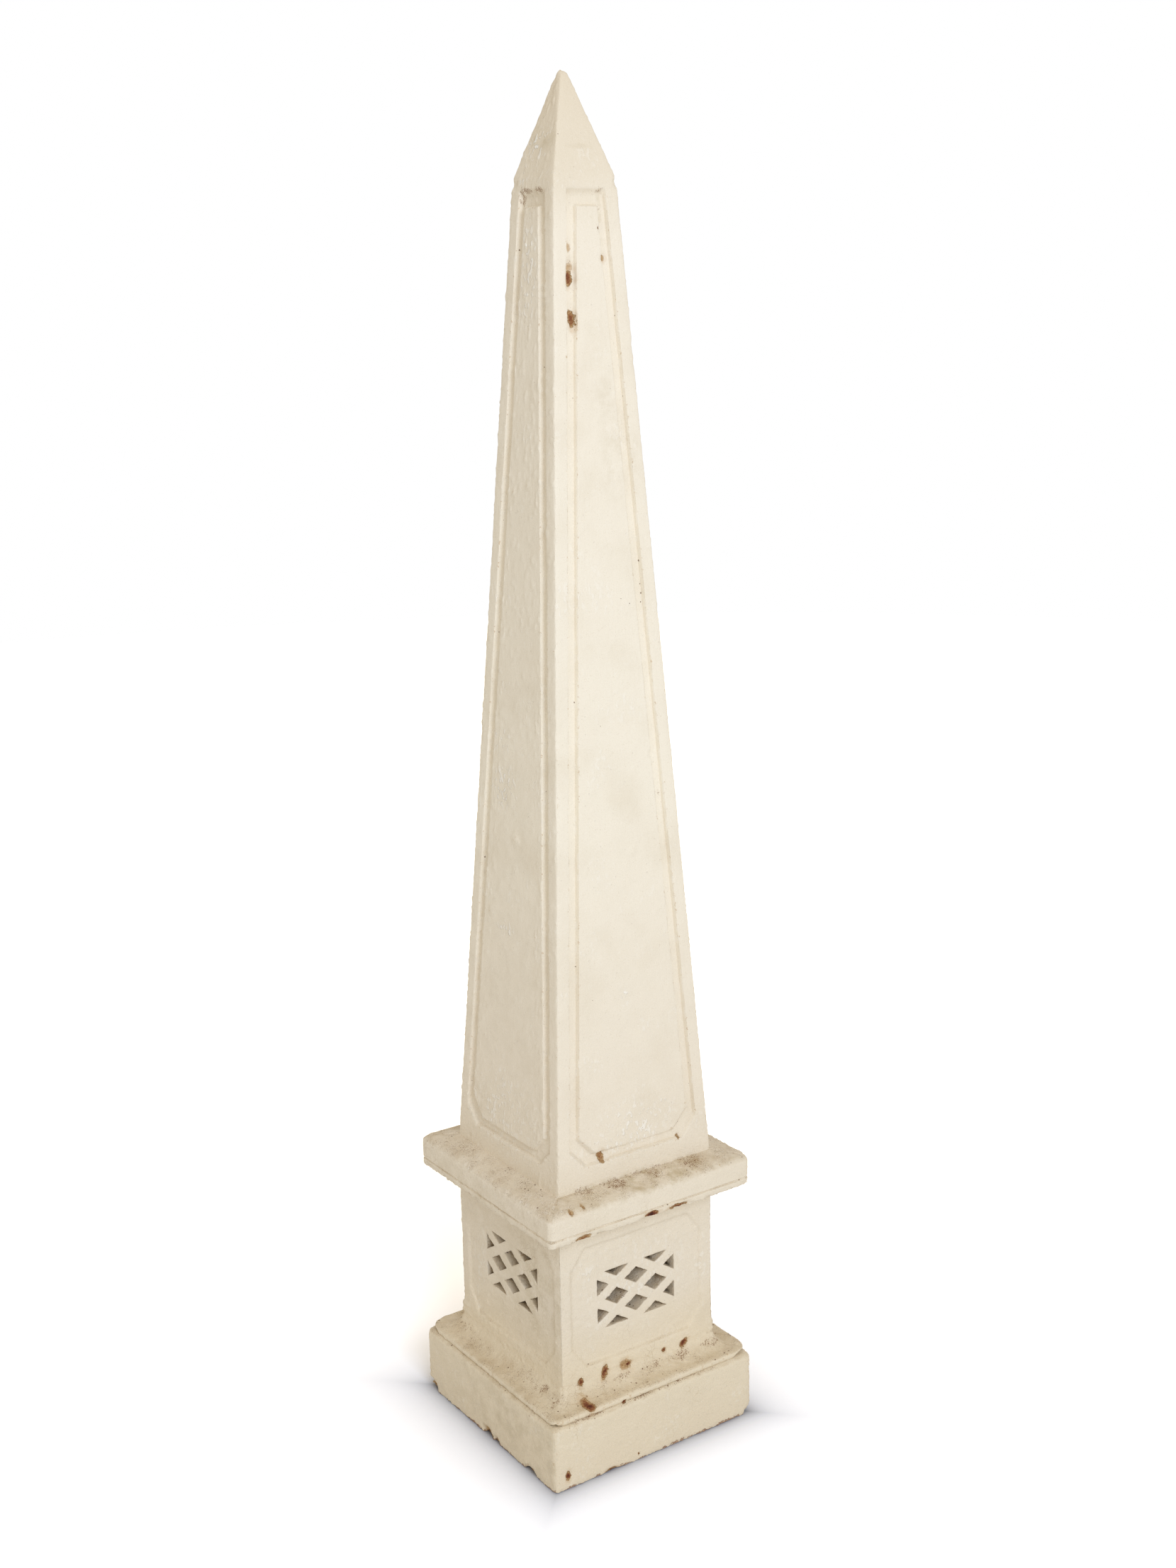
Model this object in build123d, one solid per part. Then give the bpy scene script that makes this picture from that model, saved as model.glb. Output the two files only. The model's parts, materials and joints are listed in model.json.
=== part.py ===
from build123d import *
import math
import os

os.makedirs("parts", exist_ok=True)

# Hollow garden obelisk in painted terracotta on a square pedestal with pierced sides.
# Every tier is a ring of four clay slabs, mitred at the corners and luted edge to edge.
# Millimetres, +Z up, origin at the middle of the underside. The front looks along -Y.

# overall sizes
total_height = 1520.0
plinth_width = 282.0
dado_width = 212.0
cornice_width = 279.0
shaft_foot_width = 212.0
shaft_top_width = 79.0

# heights of the tiers, from the ground up
plinth_height = 79.0
bead_height = 8.0
cove_height = 20.0
dado_height = 173.0
bed_mould_height = 16.0
fascia_height = 36.0
weathering_rise = 5.0
tip_height = 108.0

# thickness of the clay
plinth_wall = 20.0
dado_wall = 24.0
cornice_wall = 18.0
shaft_wall = 18.0

# mouldings of the pedestal
arris_chamfer = 2.0
bead_setback = 5.0
bead_projection = 2.5
cove_shelf = 5.0
hollow_depth = 6.0
soffit_width = 7.0
fascia_fillet = 9.0
score_depth = 1.5
score_height = 2.0
core_depth = 21.0
core_slope = 8.0
tip_flat = 7.0

# slope of the walls of every sunk panel and channel, which let the slab leave its mould
draft = 1.5

# sunk panel on each side of the dado, its four corners canted (across, up)
panel_depth = 3.0
panel_margin = 14.0
panel_bottom_rail = 11.0
panel_top_rail = 14.0
panel_cant = (19.0, 25.0)

# lattice pierced through each panel: diamonds in rows, cut to triangles by a straight border
lattice_pitch = (27.2, 17.5)
lattice_cells = 2
lattice_bar = 12.0
lattice_rise = {"front": 85.0, "right": 94.0, "back": 85.0, "left": 94.0}

# sunk channel round a raised field on each side of the shaft
channel_depth = 4.0
channel_width = 13.0
channel_head_width = 18.0
channel_margin = 16.0
channel_bottom_rail = 25.0
channel_top_rail = 10.0
channel_cant = 20.0

# levels, half widths and inner faces that the tiers share
bead_top = plinth_height + bead_height
dado_base = bead_top + cove_height
cornice_base = dado_base + dado_height
fascia_base = cornice_base + bed_mould_height
fascia_top = fascia_base + fascia_height
shaft_base = fascia_top + weathering_rise
shoulder = total_height - tip_height
plinth_face = plinth_width / 2
dado_face = dado_width / 2
cornice_face = cornice_width / 2
foot_face = shaft_foot_width / 2
top_face = shaft_top_width / 2
dado_inner = dado_face - dado_wall
foot_inner = foot_face - shaft_wall
top_inner = top_face - shaft_wall

SIDES = {"front": 0, "right": 90, "back": 180, "left": 270}


def profile(*edges):
    """Close a chain of edges into a profile of the front, seen from its right-hand end."""
    return Plane.YZ * make_face(Curve() + list(edges))


def run(*points):
    """Straight edges through points given as (distance from the axis, height)."""
    return Polyline([(-distance, height) for distance, height in points])


def hollow(start, end):
    """Concave arc between two points given as (distance from the axis, height)."""
    return SagittaArc((-start[0], start[1]), (-end[0], end[1]), -hollow_depth)


def front_slab(face):
    """Run a profile along the front and cut both ends to 45 degree mitres."""
    reach = 2 * max(plinth_face, cornice_face, foot_face)
    quarter = Polygon((0, 0), (-reach, -reach), (reach, -reach), align=None)
    return extrude(face, amount=reach, both=True) & extrude(quarter, amount=2 * total_height)


def plinth_slab():
    """Upright wall of the plinth, its top arris eased."""
    inner = plinth_face - plinth_wall
    return front_slab(profile(run(
        (inner, 0),
        (plinth_face, 0),
        (plinth_face, plinth_height - arris_chamfer),
        (plinth_face - arris_chamfer, plinth_height),
        (inner, plinth_height),
        (inner, 0),
    )))


def cove_slab():
    """Base mould on the plinth: a bead, and a hollow that rises to the dado."""
    root = plinth_face - bead_setback
    shelf = root - cove_shelf
    bead_middle = (-root - bead_projection, plinth_height + bead_height / 2)
    return front_slab(profile(
        run((dado_inner, plinth_height), (root, plinth_height)),
        ThreePointArc((-root, plinth_height), bead_middle, (-root, bead_top)),
        run((root, bead_top), (shelf, bead_top)),
        hollow((shelf, bead_top), (dado_face, dado_base)),
        run((dado_face, dado_base), (dado_inner, dado_base), (dado_inner, plinth_height)),
    ))


def dado_slab(rise):
    """Wall of the dado, with a canted panel sunk in it and a lattice pierced through."""
    slab = front_slab(profile(run(
        (dado_inner, dado_base),
        (dado_face, dado_base),
        (dado_face, cornice_base),
        (dado_inner, cornice_base),
        (dado_inner, dado_base),
    )))
    front = Plane((0, -dado_face, 0), x_dir=(1, 0, 0), z_dir=(0, -1, 0))
    slab -= drafted(front, panel_outline(0), panel_outline(draft), panel_depth)
    return slab - extrude(front * lattice(dado_base + rise), amount=-2 * dado_wall)


def drafted(face, mouth, floor, depth):
    """Solid between an outline on a face and a like one at a depth behind it."""
    return loft([face * mouth, face.offset(-depth) * floor], ruled=True)


def panel_outline(inset):
    """Upright rectangle with its four corners canted."""
    across, up = panel_cant
    half = dado_face - panel_margin - inset
    low = dado_base + panel_bottom_rail + inset
    high = cornice_base - panel_top_rail - inset
    right = [(half - across, low), (half, low + up), (half, high - up), (half - across, high)]
    left = [(-x, z) for x, z in reversed(right)]
    return Polygon(*right, *left, align=None)


def lattice(centre):
    """Openings between crossed bars: four whole diamonds and eight cut at the border."""
    across, up = lattice_pitch
    cell_radius = across * up / math.hypot(across, up)
    share = 1 - lattice_bar / 2 / cell_radius
    diamond = Polygon((across * share, 0), (0, up * share), (-across * share, 0),
                      (0, -up * share), align=None)
    steps = range(-lattice_cells, lattice_cells + 1)
    diamonds = [
        Pos(column * across, centre + row * up) * diamond
        for column in steps
        for row in steps
        if (column + row) % 2
    ]
    border = Rectangle(2 * lattice_cells * across, 2 * lattice_cells * up)
    return (Sketch() + diamonds) & Pos(0, centre) * border


def cornice_slab():
    """Bed mould, scored fascia and weathered top, hollowed inside to an even wall."""
    soffit = cornice_face - soffit_width
    score = fascia_base + fascia_fillet
    core = dado_inner + core_depth
    return front_slab(profile(
        run((dado_inner, cornice_base), (dado_face, cornice_base)),
        hollow((dado_face, cornice_base), (soffit, fascia_base)),
        run(
            (soffit, fascia_base),
            (cornice_face, fascia_base),
            (cornice_face, score),
            (cornice_face - score_depth, score + score_height / 2),
            (cornice_face, score + score_height),
            (cornice_face, fascia_top - arris_chamfer),
            (cornice_face - arris_chamfer, fascia_top),
            (foot_face, shaft_base),
            (foot_inner, shaft_base),
            (foot_inner, shaft_base - cornice_wall),
            (core, shaft_base - cornice_wall),
            (core, cornice_base + cornice_wall + core_slope),
            (dado_inner, cornice_base + cornice_wall),
            (dado_inner, cornice_base),
        ),
    ))


def shaft_slab():
    """Tapering wall of the shaft, with a channel sunk round its raised field."""
    slab = front_slab(profile(run(
        (foot_inner, shaft_base),
        (foot_face, shaft_base),
        (top_face, shoulder),
        (top_inner, shoulder),
        (foot_inner, shaft_base),
    )))
    inset = foot_face - top_face
    rise = shoulder - shaft_base
    slope = math.hypot(inset, rise)
    face = Plane((0, -foot_face, shaft_base), x_dir=(1, 0, 0), z_dir=(0, -rise, inset))
    sunk = drafted(face, field_outline(slope, 0), field_outline(slope, draft), channel_depth)
    drop = channel_head_width - channel_width
    field = drafted(
        face,
        field_outline(slope, channel_width, drop),
        field_outline(slope, channel_width - draft, drop),
        channel_depth,
    )
    return slab - (sunk - field)


def field_outline(slope, inset, drop=0.0):
    """Tapering outline on the sloping face, its two lower corners canted, its top dropped."""
    low = channel_bottom_rail + inset
    high = slope - channel_top_rail - inset - drop

    def half(height):
        full = foot_face - (foot_face - top_face) * height / slope
        return full - channel_margin - inset

    right = [
        (half(low) - channel_cant, low),
        (half(low + channel_cant), low + channel_cant),
        (half(high), high),
    ]
    left = [(-x, y) for x, y in reversed(right)]
    return Polygon(*right, *left, align=None)


def tip_slab():
    """One side of the pyramid, solid where the four walls meet above the hollow."""
    core_top = shoulder + tip_height * top_inner / top_face
    return front_slab(profile(run(
        (top_inner, shoulder),
        (top_face, shoulder),
        (tip_flat / 2, total_height),
        (0, total_height),
        (0, core_top),
        (top_inner, shoulder),
    )))


for side, turn in SIDES.items():
    tiers = {
        "plinth": plinth_slab(),
        "cove": cove_slab(),
        "dado": dado_slab(lattice_rise[side]),
        "cornice": cornice_slab(),
        "shaft": shaft_slab(),
        "tip": tip_slab(),
    }
    for tier, slab in tiers.items():
        export_step(slab.rotate(Axis.Z, turn), f"parts/{tier}_{side}.step")
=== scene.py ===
import bpy
import json
import math
import numpy as np
from mathutils import Euler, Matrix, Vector

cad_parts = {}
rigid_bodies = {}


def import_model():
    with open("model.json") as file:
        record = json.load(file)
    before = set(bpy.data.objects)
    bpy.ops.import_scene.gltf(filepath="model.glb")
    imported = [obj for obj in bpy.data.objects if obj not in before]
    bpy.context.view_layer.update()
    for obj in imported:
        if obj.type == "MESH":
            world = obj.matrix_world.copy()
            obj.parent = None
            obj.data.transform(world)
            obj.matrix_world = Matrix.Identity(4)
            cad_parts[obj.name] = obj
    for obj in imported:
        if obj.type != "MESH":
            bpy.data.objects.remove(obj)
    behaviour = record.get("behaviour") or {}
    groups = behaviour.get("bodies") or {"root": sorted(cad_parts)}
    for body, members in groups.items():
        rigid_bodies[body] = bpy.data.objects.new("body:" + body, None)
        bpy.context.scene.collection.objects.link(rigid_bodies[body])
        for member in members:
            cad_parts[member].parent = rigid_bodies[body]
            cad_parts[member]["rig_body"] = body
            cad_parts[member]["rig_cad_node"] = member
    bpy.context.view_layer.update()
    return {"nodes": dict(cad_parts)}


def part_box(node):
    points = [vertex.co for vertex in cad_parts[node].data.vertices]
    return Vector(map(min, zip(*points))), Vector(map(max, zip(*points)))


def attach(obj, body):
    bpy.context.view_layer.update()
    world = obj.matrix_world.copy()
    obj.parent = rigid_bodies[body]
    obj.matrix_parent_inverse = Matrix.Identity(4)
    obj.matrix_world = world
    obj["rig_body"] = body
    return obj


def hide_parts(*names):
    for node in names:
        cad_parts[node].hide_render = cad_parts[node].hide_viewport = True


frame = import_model()
sideNames = ("front", "right", "back", "left")  # each a quarter turn on from the last
print("frame loaded:", len(frame["nodes"]), "clay slabs")


# half width, foot and top of a tier, as its front slab gives them
def tierBox(tier):
    low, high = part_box(tier + "_front")
    return -low.y, low.z, high.z


plinthHalf, ground, plinthTop = tierBox("plinth")
beadHalf, coveBase, coveTop = tierBox("cove")
dadoHalf, dadoBase, dadoTop = tierBox("dado")
corniceHalf, corniceBase, corniceTop = tierBox("cornice")
footHalf, shaftBase, shoulder = tierBox("shaft")
tipHalf, _, summit = tierBox("tip")
mergeGap = 1e-6  # vertices nearer than this are one


# selecting and editing

def deselectAll():
    for piece in bpy.context.selected_objects:
        piece.select_set(False)


def makeActive(piece):
    deselectAll()
    piece.select_set(True)
    bpy.context.view_layer.objects.active = piece


def editMode():
    bpy.ops.object.mode_set(mode="EDIT")


def objectMode():
    bpy.ops.object.mode_set(mode="OBJECT")


# kind is vertex, edge or face
def selectBy(kind):
    bpy.context.tool_settings.mesh_select_mode = [kind == each for each in ("vertex", "edge", "face")]


def selectFaces(piece, chosen):
    mesh = piece.data
    selectBy("face")
    mesh.vertices.foreach_set("select", np.zeros(len(mesh.vertices), bool))
    mesh.edges.foreach_set("select", np.zeros(len(mesh.edges), bool))
    mesh.polygons.foreach_set("select", np.asarray(chosen, bool))


def selectRim(piece):
    makeActive(piece)
    selectBy("edge")
    editMode()
    bpy.ops.mesh.select_all(action="DESELECT")
    bpy.ops.mesh.select_non_manifold(extend=False, use_wire=False, use_boundary=True,
                                     use_multi_face=False, use_non_contiguous=False, use_verts=False)


# a row of three numbers for each vertex or face
def rowsOf(elements, name):
    rows = np.empty(len(elements) * 3)
    elements.foreach_get(name, rows)
    return rows.reshape(-1, 3)


def faceRows(piece):
    return rowsOf(piece.data.polygons, "center"), rowsOf(piece.data.polygons, "normal")


def vertexRows(piece):
    return rowsOf(piece.data.vertices, "co")


def moveVertices(piece, place):
    piece.data.vertices.foreach_set("co", place.ravel())
    piece.data.update()


# in edit mode: merges doubles, turns every face out and leaves edit mode
def mergeAll():
    bpy.ops.mesh.select_all(action="SELECT")
    bpy.ops.mesh.remove_doubles(threshold=mergeGap)
    bpy.ops.mesh.normals_make_consistent(inside=False)
    objectMode()


def joinAll(pieces, name):
    makeActive(pieces[0])
    for piece in pieces:
        piece.select_set(True)
    bpy.ops.object.join()
    whole = bpy.context.object
    whole.name = name
    editMode()
    mergeAll()
    return whole


# parts the chosen faces from a piece, as a piece of their own
def partFaces(piece, chosen):
    makeActive(piece)
    selectFaces(piece, chosen)
    editMode()
    bpy.ops.mesh.separate(type="SELECTED")
    objectMode()
    return [other for other in bpy.context.selected_objects if other is not piece][0]


# square mouldings: an outline carried round the obelisk
arcCuts = 4  # of a rounded corner


# divides straight runs and rounds the corners of (half width, height, radius)
def eased(outline, step):
    points = []
    for i, (half, height, radius) in enumerate(outline):
        here = Vector((half, height))
        if radius == 0:
            points.append(here)
            continue
        before = (Vector(outline[i - 1][:2]) - here).normalized()
        after = (Vector(outline[i + 1][:2]) - here).normalized()
        opening = before.angle(after)
        middle = here + (before + after).normalized() * radius / math.sin(opening / 2)
        reach = radius / math.tan(opening / 2)
        first = (here + before * reach - middle) / radius
        last = (here + after * reach - middle) / radius
        turn = math.pi - opening
        for k in range(arcCuts + 1):
            share = k / arcCuts
            ray = first * math.sin((1 - share) * turn) + last * math.sin(share * turn)
            points.append(middle + ray.normalized() * radius)
    fine = [points[0]]
    for point in points[1:]:
        start = fine[-1]
        cuts = max(1, round((point - start).length / step))
        fine += [start.lerp(point, k / cuts) for k in range(1, cuts + 1)]
    return fine


# points of an arc that leaves its chord by the sagitta, to the left if positive
def arcPoints(start, end, sagitta, count):
    a, b = Vector(start), Vector(end)
    chord = b - a
    half = chord.length / 2
    radius = (half ** 2 + sagitta ** 2) / (2 * abs(sagitta))
    outward = Vector((-chord.y, chord.x)).normalized() * math.copysign(1, sagitta)
    centre = a + chord / 2 - outward * (radius - abs(sagitta))
    spread = math.asin(half / radius)
    points = []
    for k in range(1, count + 1):
        angle = -spread + 2 * spread * k / count
        point = centre + outward * radius * math.cos(angle)
        point += chord.normalized() * radius * math.sin(angle)
        points.append((point.x, point.y, 0))
    return points


# closed square ring: the seen outline, then the hidden points back to its start
def sweepSquare(name, seen, hidden, look):
    outline = seen + [Vector(point) for point in hidden]
    half, height = outline[0]
    deselectAll()
    bpy.ops.mesh.primitive_plane_add(size=2 * half, location=(0, 0, height))
    ring = bpy.context.object
    ring.name = name
    bpy.ops.object.transform_apply(location=True, rotation=True, scale=True)
    selectBy("vertex")
    editMode()
    bpy.ops.mesh.select_all(action="SELECT")
    bpy.ops.mesh.bevel(offset=look["cornerRound"], segments=arcCuts, affect="VERTICES")
    bpy.ops.mesh.select_all(action="SELECT")
    bpy.ops.mesh.delete(type="ONLY_FACE")
    objectMode()
    mesh = ring.data
    for vertex in mesh.vertices:
        vertex.select = False
    for edge in mesh.edges:
        a, b = (mesh.vertices[k].co for k in edge.vertices)
        edge.select = (a - b).length > half
    selectBy("edge")
    editMode()
    bpy.ops.mesh.subdivide(number_cuts=look["columns"] - 1)
    bpy.ops.mesh.select_all(action="SELECT")
    for last, point in zip(outline, outline[1:] + outline[:1]):
        share = point.x / last.x
        bpy.ops.mesh.extrude_region_move(TRANSFORM_OT_translate={"value": (0, 0, point.y - last.y)})
        bpy.ops.transform.resize(value=(share, share, 1), center_override=(0, 0, 0))
    mergeAll()
    print(name, "swept:", len(mesh.polygons), "faces")
    return ring


# wear of the clay and its thick paint, the same for every tier: angles in degrees, lengths in
# metres; an arris, a corner and the shoulder are fully worn to where their measure falls to 1
wearLook = {"sharp": 14, "leastWeight": 0.02, "smoothing": 0.5, "jointGap": 2e-4, "rimGap": 0.002,
            "arris": 1.2, "corner": 1.4, "shoulder": 1.5, "cornerFade": 0.003}


def cloudTexture(name, size, depth, low, high):
    texture = bpy.data.textures.new(name, "CLOUDS")
    texture.noise_scale = size
    texture.noise_depth = depth
    texture.noise_basis = "ORIGINAL_PERLIN"
    texture.use_color_ramp = True
    first, last = texture.color_ramp.elements
    first.position, last.position = low, high
    first.color, last.color = (0, 0, 0, 1), (1, 1, 1, 1)
    return texture


handWave = cloudTexture("handWave", 0.045, 1, 0.0, 1.0)  # the slab was beaten flat by hand
paintLumps = cloudTexture("paintLumps", 0.0085, 1, 0.0, 1.0)  # old coats under the new
paintBlobs = cloudTexture("paintBlobs", 0.0055, 0, 0.6, 0.78)  # dried drips and skins
arrisCrumbs = cloudTexture("arrisCrumbs", 0.0032, 2, 0.3, 0.75)
arrisKnocks = cloudTexture("arrisKnocks", 0.014, 1, 0.6, 0.85)


def weigh(ring, name, weights):
    group = ring.vertex_groups.new(name=name)
    for index in np.nonzero(weights > wearLook["leastWeight"])[0]:
        group.add([int(index)], float(weights[index]), "REPLACE")
    return name


def displace(ring, texture, strength, level, group):
    push = ring.modifiers.new("clay", "DISPLACE")
    push.texture = texture
    push.texture_coords = "LOCAL"
    push.strength = strength
    push.mid_level = level
    push.vertex_group = group
    bpy.ops.object.modifier_apply(modifier=push.name)


# rounds every sharp edge in sight a little, as coats of paint do
def soften(ring, turns, inSight):
    makeActive(ring)
    selectBy("edge")
    editMode()
    bpy.ops.mesh.select_all(action="DESELECT")
    bpy.ops.mesh.edges_select_sharp(sharpness=math.radians(wearLook["sharp"]))
    bpy.ops.mesh.select_mode(type="VERT")
    objectMode()
    sharp = np.empty(len(ring.data.vertices), bool)
    ring.data.vertices.foreach_get("select", sharp)
    smoothNear(ring, "edges", (sharp & inSight).astype(float), turns)


def smoothNear(ring, name, weights, turns):
    makeActive(ring)
    smooth = ring.modifiers.new("worn", "SMOOTH")
    smooth.factor = wearLook["smoothing"]
    smooth.iterations = turns
    smooth.vertex_group = weigh(ring, name, weights)
    bpy.ops.object.modifier_apply(modifier=smooth.name)
    ring.vertex_groups.clear()


# which vertices lie where a tier is luted to its neighbours
def atJoint(place, look):
    gap = np.min([abs(place[:, 2] - height) for height in look["joints"]], axis=0)
    return gap < wearLook["jointGap"]


def wearRing(ring, look):
    place = vertexRows(ring)
    luted = atJoint(place, look)
    jointHeights = place[luted, 2]
    inSight = abs(place[:, :2]).max(1) > look["inside"] + wearLook["rimGap"]
    soften(ring, look["rounding"], ~luted & inSight)
    place = vertexRows(ring)
    reach = abs(place[:, :2])
    outside = np.clip((reach.max(1) - look["inside"]) / look["fade"], 0, 1)
    fromArris = reach.max(1) - reach.min(1)
    onArris = np.clip(wearLook["arris"] - fromArris / look["arrisReach"], 0, 1)
    for (x, y), reachOut, turns in look["corners"]:
        away = np.hypot(place[:, 0] - x, place[:, 1] - y)
        near = np.clip(wearLook["corner"] - away / reachOut, 0, 1)
        below = np.clip((look["cornersTop"] - place[:, 2]) / wearLook["cornerFade"], 0, 1)
        smoothNear(ring, "corner", near * (outside > 0) * below, turns)
    for half, height in look["ledges"]:
        fromLedge = np.hypot(reach.max(1) - half, place[:, 2] - height)
        onLedge = np.clip(wearLook["arris"] - fromLedge / look["arrisReach"], 0, 1)
        onArris = np.maximum(onArris, onLedge)
    onLeft = np.where(-place[:, 0] > abs(place[:, 1]) - mergeGap, 1.0, look["otherSides"])
    makeActive(ring)
    face = weigh(ring, "face", outside)
    blobs = weigh(ring, "blobs", outside * onLeft)
    arris = weigh(ring, "arris", onArris * outside)
    displace(ring, handWave, look["wave"], 0.5, face)
    displace(ring, paintLumps, look["lumps"], 0.5, face)
    displace(ring, paintBlobs, look["blobs"], 0.0, blobs)
    displace(ring, arrisCrumbs, look["crumbs"], 1.0, arris)
    displace(ring, arrisKnocks, -look["knocks"], 0.0, arris)
    place = vertexRows(ring)
    place[luted, 2] = jointHeights
    place[:, 2] = np.maximum(place[:, 2], ground)
    moveVertices(ring, place)


# how far each vertex lies in a hollow (+) or on a crest (-), for the dirt and the painted shade of hollows
# to find; the turns spread it, and in a pierced tier dirt and painted shade lie in the openings more than
# round their edges
hollowLook = {"turns": 2, "keep": 0.5, "pierced": 0.5, "openingsIn": 0.005}


def markHollows(ring, look):
    mesh = ring.data
    place, normal = vertexRows(ring), rowsOf(mesh.vertices, "normal")
    total = len(place)
    ends = np.empty(len(mesh.edges) * 2, int)
    mesh.edges.foreach_get("vertices", ends)
    a, b = ends.reshape(-1, 2).T
    gap = place[b] - place[a]
    length = np.linalg.norm(gap, axis=1) + 1e-9
    count = np.maximum(np.bincount(a, minlength=total) + np.bincount(b, minlength=total), 1)
    bend = np.bincount(a, (gap * normal[a]).sum(1) / length, minlength=total)
    bend += np.bincount(b, -(gap * normal[b]).sum(1) / length, minlength=total)
    bend /= count
    for turn in range(hollowLook["turns"]):
        near = np.bincount(a, bend[b], minlength=total) + np.bincount(b, bend[a], minlength=total)
        bend = hollowLook["keep"] * bend + (1 - hollowLook["keep"]) * near / count
        bend[atJoint(place, look)] = 0
    # the openings' walls take a set share of darkening: dirt and painted shade
    if "tunnelGrimeAndShade" in look:
        bend *= hollowLook["pierced"]
        inOpening = abs(place[:, :2]).max(1) < dadoHalf - hollowLook["openingsIn"]
        bend[inOpening] = look["tunnelGrimeAndShade"]
    hollow = mesh.attributes.new("hollow", "FLOAT", "POINT")
    hollow.data.foreach_set("value", bend.astype(np.float32))


# cuts a ring into its four sides
def splitSides(ring, tier):
    pieces = {"front": ring}
    for turn, side in enumerate(sideNames[1:], 1):
        centre = faceRows(ring)[0]
        angle = np.degrees(np.arctan2(centre[:, 0], -centre[:, 1]))
        pieces[side] = partFaces(ring, np.floor((angle + 45) / 90).astype(int) % 4 == turn)
    for side, piece in pieces.items():
        piece.name = tier + side.capitalize()
        piece.data.name = piece.name
        piece.vertex_groups.clear()
    return pieces


# closes the mitres of a slab cut from a ring
def closeMitres(piece):
    selectRim(piece)
    bpy.ops.mesh.fill_holes(sides=0)
    objectMode()


# turns a closed piece the right way out
def faceOutwards(piece):
    centre, normal = faceRows(piece)
    area = np.empty(len(centre))
    piece.data.polygons.foreach_get("area", area)
    if ((centre - centre.mean(0)) * normal).sum(1) @ area > 0:
        return
    makeActive(piece)
    editMode()
    bpy.ops.mesh.select_all(action="SELECT")
    bpy.ops.mesh.flip_normals()
    objectMode()


# carries the rim of an open skin in to the inner face and closes it
def giveWall(piece, inward):
    selectRim(piece)
    bpy.ops.mesh.extrude_region_move(TRANSFORM_OT_translate={"value": (0, 0, 0)})
    objectMode()
    for vertex in piece.data.vertices:
        if vertex.select:
            vertex.co = inward(vertex.co)
    editMode()
    bpy.ops.mesh.fill_holes(sides=0)
    bpy.ops.mesh.select_all(action="SELECT")
    bpy.ops.mesh.normals_make_consistent(inside=False)
    objectMode()
    faceOutwards(piece)


# what the tiers share: the wear of their faces, and how the mouldings are cut
worn = {"wave": 0.0015, "lumps": 0.0009, "blobs": 0.0008, "arrisReach": 0.004, "ledges": [],
        "corners": [], "cornersTop": 0}
moulded = {**worn, "cornerRound": 0.004, "step": 0.0024, "columns": 116}

# plinth: an upright square wall, its top arris rounded by wear
plinthLook = {
    **moulded, "wall": 0.020, "topRound": 0.0042, "footRound": 0.0015, "ledge": 0.008,
    "joints": [plinthTop], "rounding": 2, "inside": 0.122, "fade": 0.004, "arrisReach": 0.0045,
    "ledges": [(plinthHalf, ground), (plinthHalf, plinthTop)],
    "corners": [((plinthHalf, -plinthHalf), 0.014, 30), ((-plinthHalf, plinthHalf), 0.013, 20)],
    "cornersTop": plinthTop + 0.01, "otherSides": 0.6, "blobs": 0.0006, "crumbs": 0.0014,
    "knocks": 0.0022,
}
plinthInner = plinthHalf - plinthLook["wall"]
plinthLine = eased([
    (plinthInner, ground, 0),
    (plinthHalf, ground, plinthLook["footRound"]),
    (plinthHalf, plinthTop, plinthLook["topRound"]),
    (plinthHalf - plinthLook["ledge"], plinthTop, 0),
], plinthLook["step"])
plinthRing = sweepSquare("plinthRing", plinthLine, [(plinthInner, plinthTop)], plinthLook)


# cove: bead and hollow that carry the dado, which flares into it
dadoFlare = 0.002
coveLook = {
    **moulded, "bead": 0.008, "beadProud": 0.0018, "shelf": 0.006, "hollow": 0.0072,
    "shelfRound": 0.001, "step": 0.0019, "beadCuts": 6, "hollowCuts": 10,
    "joints": [coveBase, coveTop], "rounding": 4, "inside": 0.092, "fade": 0.008,
    "corners": [((beadHalf, -beadHalf), 0.016, 50), ((-beadHalf, beadHalf), 0.016, 50),
                ((-beadHalf, -beadHalf), 0.008, 16), ((beadHalf, beadHalf), 0.010, 20)],
    "cornersTop": coveBase + 0.011, "otherSides": 0.8, "crumbs": 0.0014, "knocks": 0.0025,
}
beadRoot = beadHalf - coveLook["beadProud"]
beadTop = coveBase + coveLook["bead"]
shelfHalf = beadRoot - coveLook["shelf"]
coveLine = eased([
    (beadRoot, coveBase, 0),
    *arcPoints((beadRoot, coveBase), (beadRoot, beadTop), -coveLook["beadProud"], coveLook["beadCuts"]),
    (shelfHalf, beadTop, coveLook["shelfRound"]),
    *arcPoints((shelfHalf, beadTop), (dadoHalf + dadoFlare, coveTop), coveLook["hollow"],
               coveLook["hollowCuts"]),
], coveLook["step"])
dadoInner = -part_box("dado_front")[1].y
coveRing = sweepSquare("coveRing", coveLine, [(dadoInner, coveTop), (dadoInner, coveBase)], coveLook)


# cornice: hollow bed mould, scored fascia and weathered top, cored inside
corniceLook = {
    **moulded, "bedMould": 0.016, "hollow": 0.006, "hollowCuts": 9, "soffit": 0.007,
    "fillet": 0.0085, "score": 0.0014, "scoreWide": 0.003, "scoreRound": 0.0003, "scoreLow": 0.4,
    "fascia": 0.036, "arrisRound": 0.0055, "lowRound": 0.002, "underShaft": 0.004,
    "wall": 0.018, "core": 0.103, "coreSlope": 0.008,
    "joints": [corniceBase, corniceTop], "rounding": 2, "inside": 0.1035, "fade": 0.002,
    "corners": [((corniceHalf, -corniceHalf), 0.014, 30), ((-corniceHalf, corniceHalf), 0.012, 16)],
    "cornersTop": corniceTop, "arrisReach": 0.005, "otherSides": 0.7, "crumbs": 0.0018, "knocks": 0.0030,
}
fasciaBase = corniceBase + corniceLook["bedMould"]
fasciaTop = fasciaBase + corniceLook["fascia"]
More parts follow.
